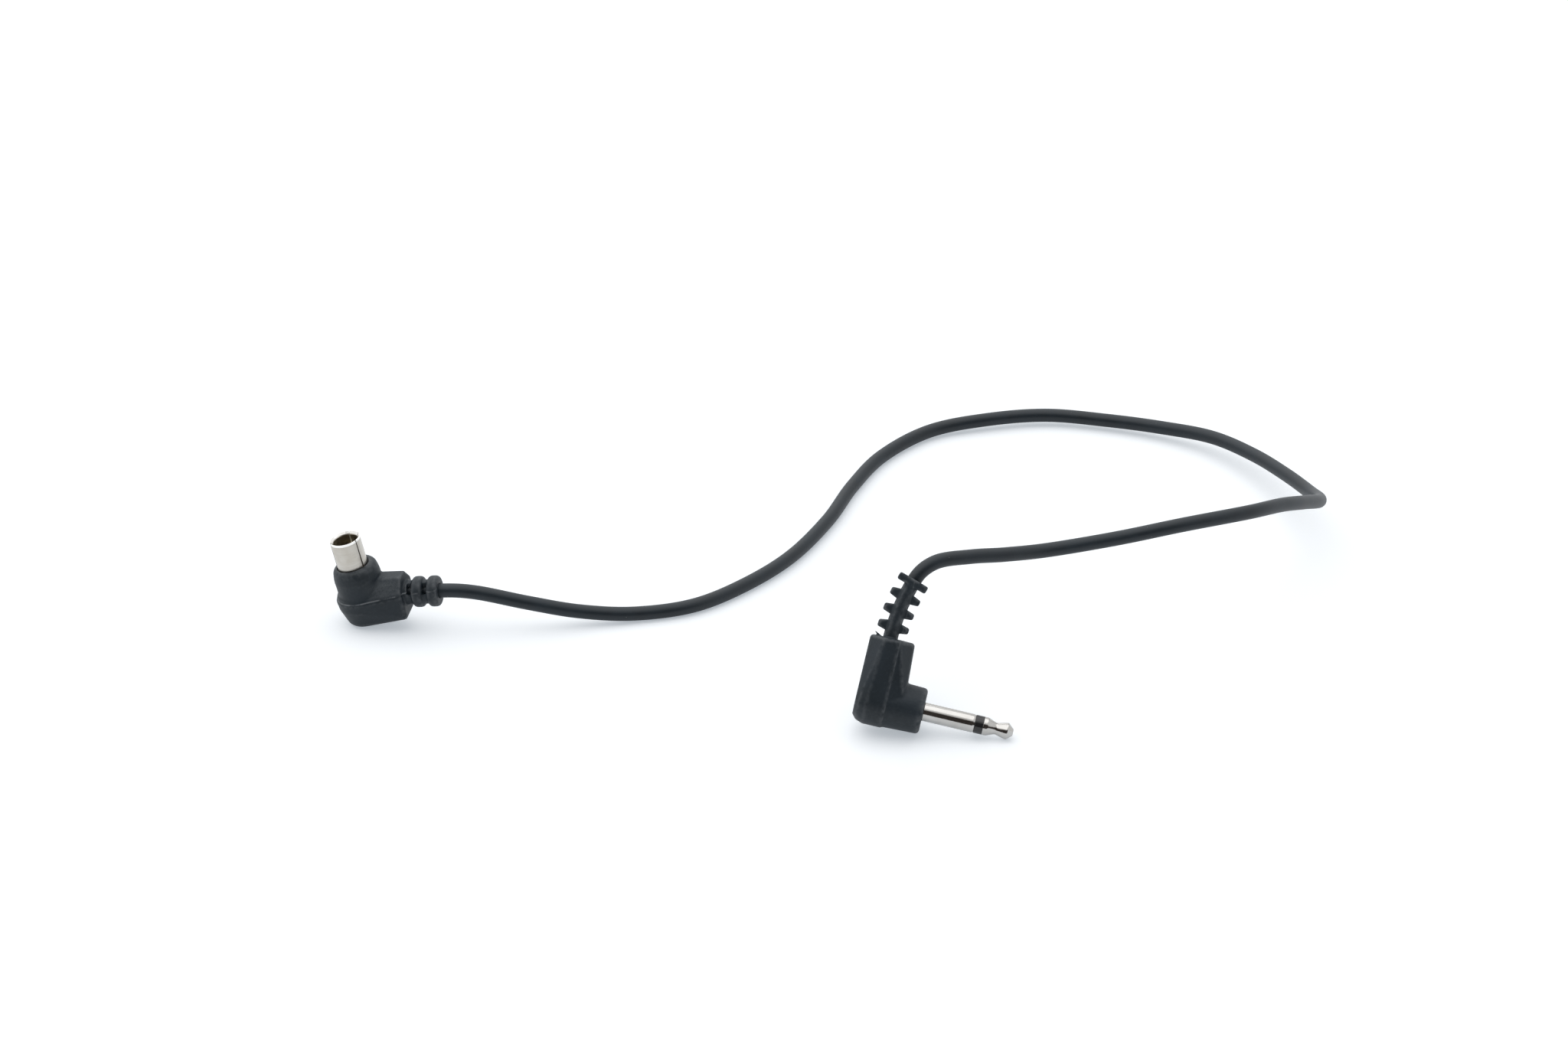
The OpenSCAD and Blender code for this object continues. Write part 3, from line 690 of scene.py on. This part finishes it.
# %% Jacket of the cord
jacket = Finish("cord_jacket", Specular_IOR_Level=0.4)
haze = jacket.noise(300, detail=4.0)
lint = specks(jacket, spacing=0.0013, radius=0.00006)
tone = jacket.blend(haze.clip(0.3, 0.7), (0.007, 0.012, 0.017), (0.012, 0.020, 0.028))
jacket.feed("Base Color", jacket.blend(lint * 0.5, tone, DUST_TONE))
jacket.feed("Roughness", 0.40 + 0.14 * haze + 0.2 * lint)
jacket.feed("Normal", jacket.bump(jacket.noise(4000), depth=0.000003))
print("nodes in the jacket:", len(jacket.tree.nodes))

# %% [markdown]
# ## Plated metal
#
# The jack's barrel and tip are polished and plated bright; turning leaves rings
# so fine that they only blur a reflection around the barrel. The coaxial sleeve
# is duller, warmer nickel, and inside its bore it is coloured darker and browner.
# The barrel's tone is set darker than bare nickel, because the lamp and the white
# room both show in it.

# %% Bright plating, with fine turned rings
def plated(name, at, axes, low, high, rough):
    """Metal whose fine rings run round the plug's own axis, the first of axes.

    The noise is squeezed along the axis, 9000 a metre, and stretched around
    it, 250 a metre, so each blotch becomes a thin ring.
    """
    made = Finish(name, Metallic=1.0)
    rings = made.noise(1.0, detail=2.0, place=made.stretch(at, axes, (9000, 250, 250)))
    cloud = made.noise(500, detail=4.0)
    made.feed("Base Color", made.blend(cloud.clip(0.3, 0.7), low, high))
    made.feed("Roughness", rough + 0.10 * cloud + 0.04 * rings)
    made.feed("Normal", made.bump(rings, depth=0.0000004))
    return made


bright = plated("bright_nickel", jack_at, jack_turn,
                low=(0.438, 0.427, 0.409), high=(0.504, 0.496, 0.482), rough=0.07)
lug_metal = plated("lug_nickel", jack_at, jack_turn,
                   low=(0.62, 0.60, 0.56), high=(0.72, 0.70, 0.66), rough=0.2)
print("plated finishes:", bright.material.name, lug_metal.material.name)

# %% Satin sleeve, darker and browner inside its bore
SATIN_DARK, SATIN_LIGHT = (0.47, 0.44, 0.39), (0.58, 0.56, 0.52)
# The rim's tone on this line is a painted highlight.
LINE_TONE, RIM_HIGHLIGHT_TONE = (0.36, 0.335, 0.29), (0.86, 0.85, 0.83)
BORE_DARK, BORE_LIGHT = (0.17, 0.145, 0.105), (0.56, 0.50, 0.36)

satin = Finish("satin_nickel", Metallic=1.0)
mist = satin.noise(420, detail=4.0)
on_axis = satin.stretch(pc_at, pc_turn, (1, 1, 1))
split = satin.node("SeparateXYZ", inputs={0: on_axis})
x, y, z = (Value(satin.tree, split.socket.node.outputs[k]) for k in range(3))
radius = (x * x + y * y) ** 0.5
bore = (1 - radius.clip(1.95 * MM, 1.99 * MM)) * (1 - z.clip(9.0 * MM, 9.08 * MM))
lines = satin.noise(1.0, detail=2.0, place=satin.stretch(pc_at, pc_turn, (300, 300, 9000)))
skin = satin.blend(mist.clip(0.3, 0.7), SATIN_DARK, SATIN_LIGHT)
skin = satin.blend(lines.clip(0.5, 0.8) * 0.3, skin, LINE_TONE)
# The mouth's rim gets a near-white painted highlight and a lower roughness.
rim = z.clip(9.1 * MM, 9.2 * MM)
skin = satin.blend(rim, skin, RIM_HIGHLIGHT_TONE)
bore_tone = satin.blend(satin.noise(520, detail=4.0).clip(0.4, 0.62), BORE_DARK, BORE_LIGHT)
satin.feed("Base Color", satin.blend(bore, skin, bore_tone))
satin.feed("Roughness", 0.22 + 0.10 * mist + 0.08 * lines + 0.2 * bore - 0.12 * rim)
satin.feed("Normal", satin.bump(lines, depth=0.000001))
print("nodes in the satin nickel:", len(satin.tree.nodes))

# %% [markdown]
# ## The ring, the bush and the hidden pieces
#
# The barrel's black ring is glossy moulded plastic, and the bush inside the slit
# sleeve is a dull one. Brass, copper, solder, the cream moulding and the washer
# are inside the plugs, where only a cut-away would show them. One flat colour
# each would do. A faint cloud in tone and roughness costs little and keeps them
# from looking like paint, so one small function gives each its two tones.

# %% Black insulating ring
ring_black = Finish("black_insulator", Specular_IOR_Level=0.5)
ring_cloud = ring_black.noise(900)
ring_tone = ring_black.blend(ring_cloud, (0.010, 0.010, 0.011), (0.02, 0.02, 0.022))
ring_black.feed("Base Color", ring_tone)
ring_black.feed("Roughness", 0.12 + 0.1 * ring_cloud)
print("nodes in the ring's black:", len(ring_black.tree.nodes))

# %% Dark insulator inside the slit sleeve
bush = Finish("dark_insulator")
bush_cloud = bush.noise(900)
bush.feed("Base Color", bush.blend(bush_cloud, (0.05, 0.045, 0.04), (0.08, 0.07, 0.06)))
bush.feed("Roughness", 0.5 + 0.2 * bush_cloud)
print("nodes in the bush:", len(bush.tree.nodes))

# %% Brass, copper, solder and the hidden moulding
def plain(name, dark, light, rough, **fixed):
    """A finish with two cloudy tones and a roughness that follows them."""
    made = Finish(name, **fixed)
    cloud = made.noise(700, detail=4.0)
    made.feed("Base Color", made.blend(cloud.clip(0.3, 0.7), dark, light))
    made.feed("Roughness", rough + 0.15 * cloud)
    return made


brass = plain("brass_pin", (0.60, 0.46, 0.22), (0.78, 0.63, 0.34), 0.2, Metallic=1.0)
copper = plain("copper_wire", (0.60, 0.30, 0.18), (0.76, 0.44, 0.29), 0.3, Metallic=1.0)
solder = plain("solder", (0.55, 0.56, 0.57), (0.70, 0.71, 0.72), 0.25, Metallic=1.0)
cream = plain("inner_mould", (0.70, 0.66, 0.56), (0.82, 0.78, 0.70), 0.5)
laminate = plain("laminate_washer", (0.22, 0.13, 0.07), (0.34, 0.21, 0.12), 0.5)
wire_coat = plain("wire_insulation", (0.72, 0.71, 0.66), (0.84, 0.83, 0.79), 0.35)
print("hidden finishes:", [finish.material.name for finish in
                           (brass, copper, solder, cream, laminate, wire_coat)])

# %% [markdown]
# ## Dressing the pieces
#
# Each CAD piece names the material that it is made of. Giving them out by hand
# could forget one, so a loop dresses every CAD piece by that name, and the
# pieces made here are dressed one by one after it.

# %% Give every piece its finish
finishes = {
    "black_vinyl": pc_vinyl, "cord_jacket": jacket, "nickel_plate": lug_metal,
    "black_insulator": ring_black, "dark_insulator": bush, "brass_pin": brass,
    "copper_wire": copper, "solder": solder, "inner_mould": cream,
    "laminate_washer": laminate, "wire_insulation": wire_coat}
for entry in frame["record"]["subparts"]:
    finishes[entry["material_slot"]].wear(nodes[entry["node"]])
jacket.wear(cord)
pc_vinyl.wear(pc_moulding)
jack_vinyl.wear(jack_moulding, nodes["jack_housing"])
bright.wear(barrel, tip, nodes["jack_sleeve"], nodes["jack_tip"])
satin.wear(sleeve, nodes["pc_sleeve"])
ring_black.wear(ring)
print("finishes:", sorted(finishes))

# %% [markdown]
# ## Table and light
#
# The object lies on a plain white table under a large soft lamp. The table glows
# to the camera and in reflections only, and the room is brighter to them than
# it is as a light, so both show as white and the table still keeps the object's
# soft shadow. The lamp's light falls off with distance, so the glow rises. A
# studio is open and dark on the side where the camera stands. Plated metal and
# glossy vinyl show that side as dark bands, and without it they look like paint,
# so reflections, and nothing else, see the room darken on the near side.

# %% Table
GLOW_NEAR, GLOW_FAR = 0.39, 0.88
GLOW_FROM, GLOW_TO = 0.25, 0.9  # metres from the middle, over which the glow rises

floor_size = 3.0
corner = floor_size / 2
floor = put_mesh("table", np.array([[-corner, -corner, 0], [corner, -corner, 0],
                                    [corner, corner, 0], [-corner, corner, 0]]),
                 [np.array([[0, 1, 2, 3]])], smooth=False)
table = Finish("white_table", Base_Color=(0.8, 0.8, 0.8), Roughness=0.9, Specular_IOR_Level=0.1)
table_rays = table.node("LightPath")
camera_ray = Value(table.tree, table_rays.socket.node.outputs["Is Camera Ray"])
glossy_ray = Value(table.tree, table_rays.socket.node.outputs["Is Glossy Ray"])
seen = camera_ray.math("MAXIMUM", camera_ray, glossy_ray)
away = table.node("VectorMath", {"operation": "LENGTH"}, {0: table.place}, out=1)
reach = away.clip(GLOW_FROM, GLOW_TO)
# Near the object the glow is bluish, which paints a cool cast into the object's shadows.
shadow_cool_tint = table.blend(reach, (0.88, 0.96, 1.04), (1.0, 1.0, 1.0))
glow = table.node("Emission", inputs={
    "Color": shadow_cool_tint, "Strength": seen * (GLOW_NEAR + (GLOW_FAR - GLOW_NEAR) * reach)})
both = table.node("AddShader", inputs={0: Value(table.tree, table.shader.outputs[0]), 1: glow})
table.tree.links.new(both.socket, table.tree.nodes["Material Output"].inputs["Surface"])
table.wear(floor)
print("table:", floor_size, "m wide, glow", GLOW_NEAR, "to", GLOW_FAR)

# %% The room
ROOM_LIGHT = 0.45  # the room's strength as a light; where it is seen it is 1
ROOM_WHITE, ROOM_DARK = (1.0, 1.0, 1.0), (0.05, 0.042, 0.038)
DARK_FROM, DARK_TO = 0.52, 0.66  # how much of a direction points to the near side

world = bpy.data.worlds.new("studio")
bpy.context.scene.world = world
world.use_nodes = True
world_tree = world.node_tree
background = world_tree.nodes["Background"]
rays = world_tree.nodes.new("ShaderNodeLightPath")
straight = Value(world_tree, rays.outputs["Is Camera Ray"])
mirrored = Value(world_tree, rays.outputs["Is Glossy Ray"])
through = Value(world_tree, rays.outputs["Is Transmission Ray"])
white = straight.math("MAXIMUM", straight.math("MAXIMUM", straight, mirrored), through)
direction = world_tree.nodes.new("ShaderNodeTexCoord")
parts = world_tree.nodes.new("ShaderNodeSeparateXYZ")
world_tree.links.new(direction.outputs["Generated"], parts.inputs[0])
depth = Value(world_tree, parts.outputs["Y"])
dark_side = (0 - depth).clip(DARK_FROM, DARK_TO) * mirrored
room = world_tree.nodes.new("ShaderNodeMix")
room.data_type = "RGBA"
connect(world_tree, dark_side, room.inputs[0])
connect(world_tree, ROOM_WHITE, room.inputs[6])
connect(world_tree, ROOM_DARK, room.inputs[7])
world_tree.links.new(room.outputs[2], background.inputs["Color"])
connect(world_tree, ROOM_LIGHT + (1 - ROOM_LIGHT) * white, background.inputs["Strength"])
print("room strength as a light:", ROOM_LIGHT)

# %% The lamp
def soft_lamp(name, place, aim, size, power):
    """A square lamp at a place, facing a point, with its power in watts."""
    data = bpy.data.lights.new(name, "AREA")
    data.shape, data.size, data.energy = "SQUARE", size, power
    lamp = bpy.data.objects.new(name, data)
    lamp.location = place
    lamp.rotation_euler = (Vector(aim) - Vector(place)).to_track_quat("-Z", "Y").to_euler()
    bpy.context.scene.collection.objects.link(lamp)
    return lamp


overhead = soft_lamp("overhead", place=(-0.2, 0.3, 0.9), aim=(0.01, 0.03, 0),
                     size=1.75, power=9.5)
print("lamp:", overhead.data.size, "m wide,", overhead.data.energy, "W")

# %% [markdown]
# ## Finish
#
# The colours are shown through Blender's plain Standard view.

# %% Set the view transform
bpy.context.scene.view_settings.view_transform = "Standard"
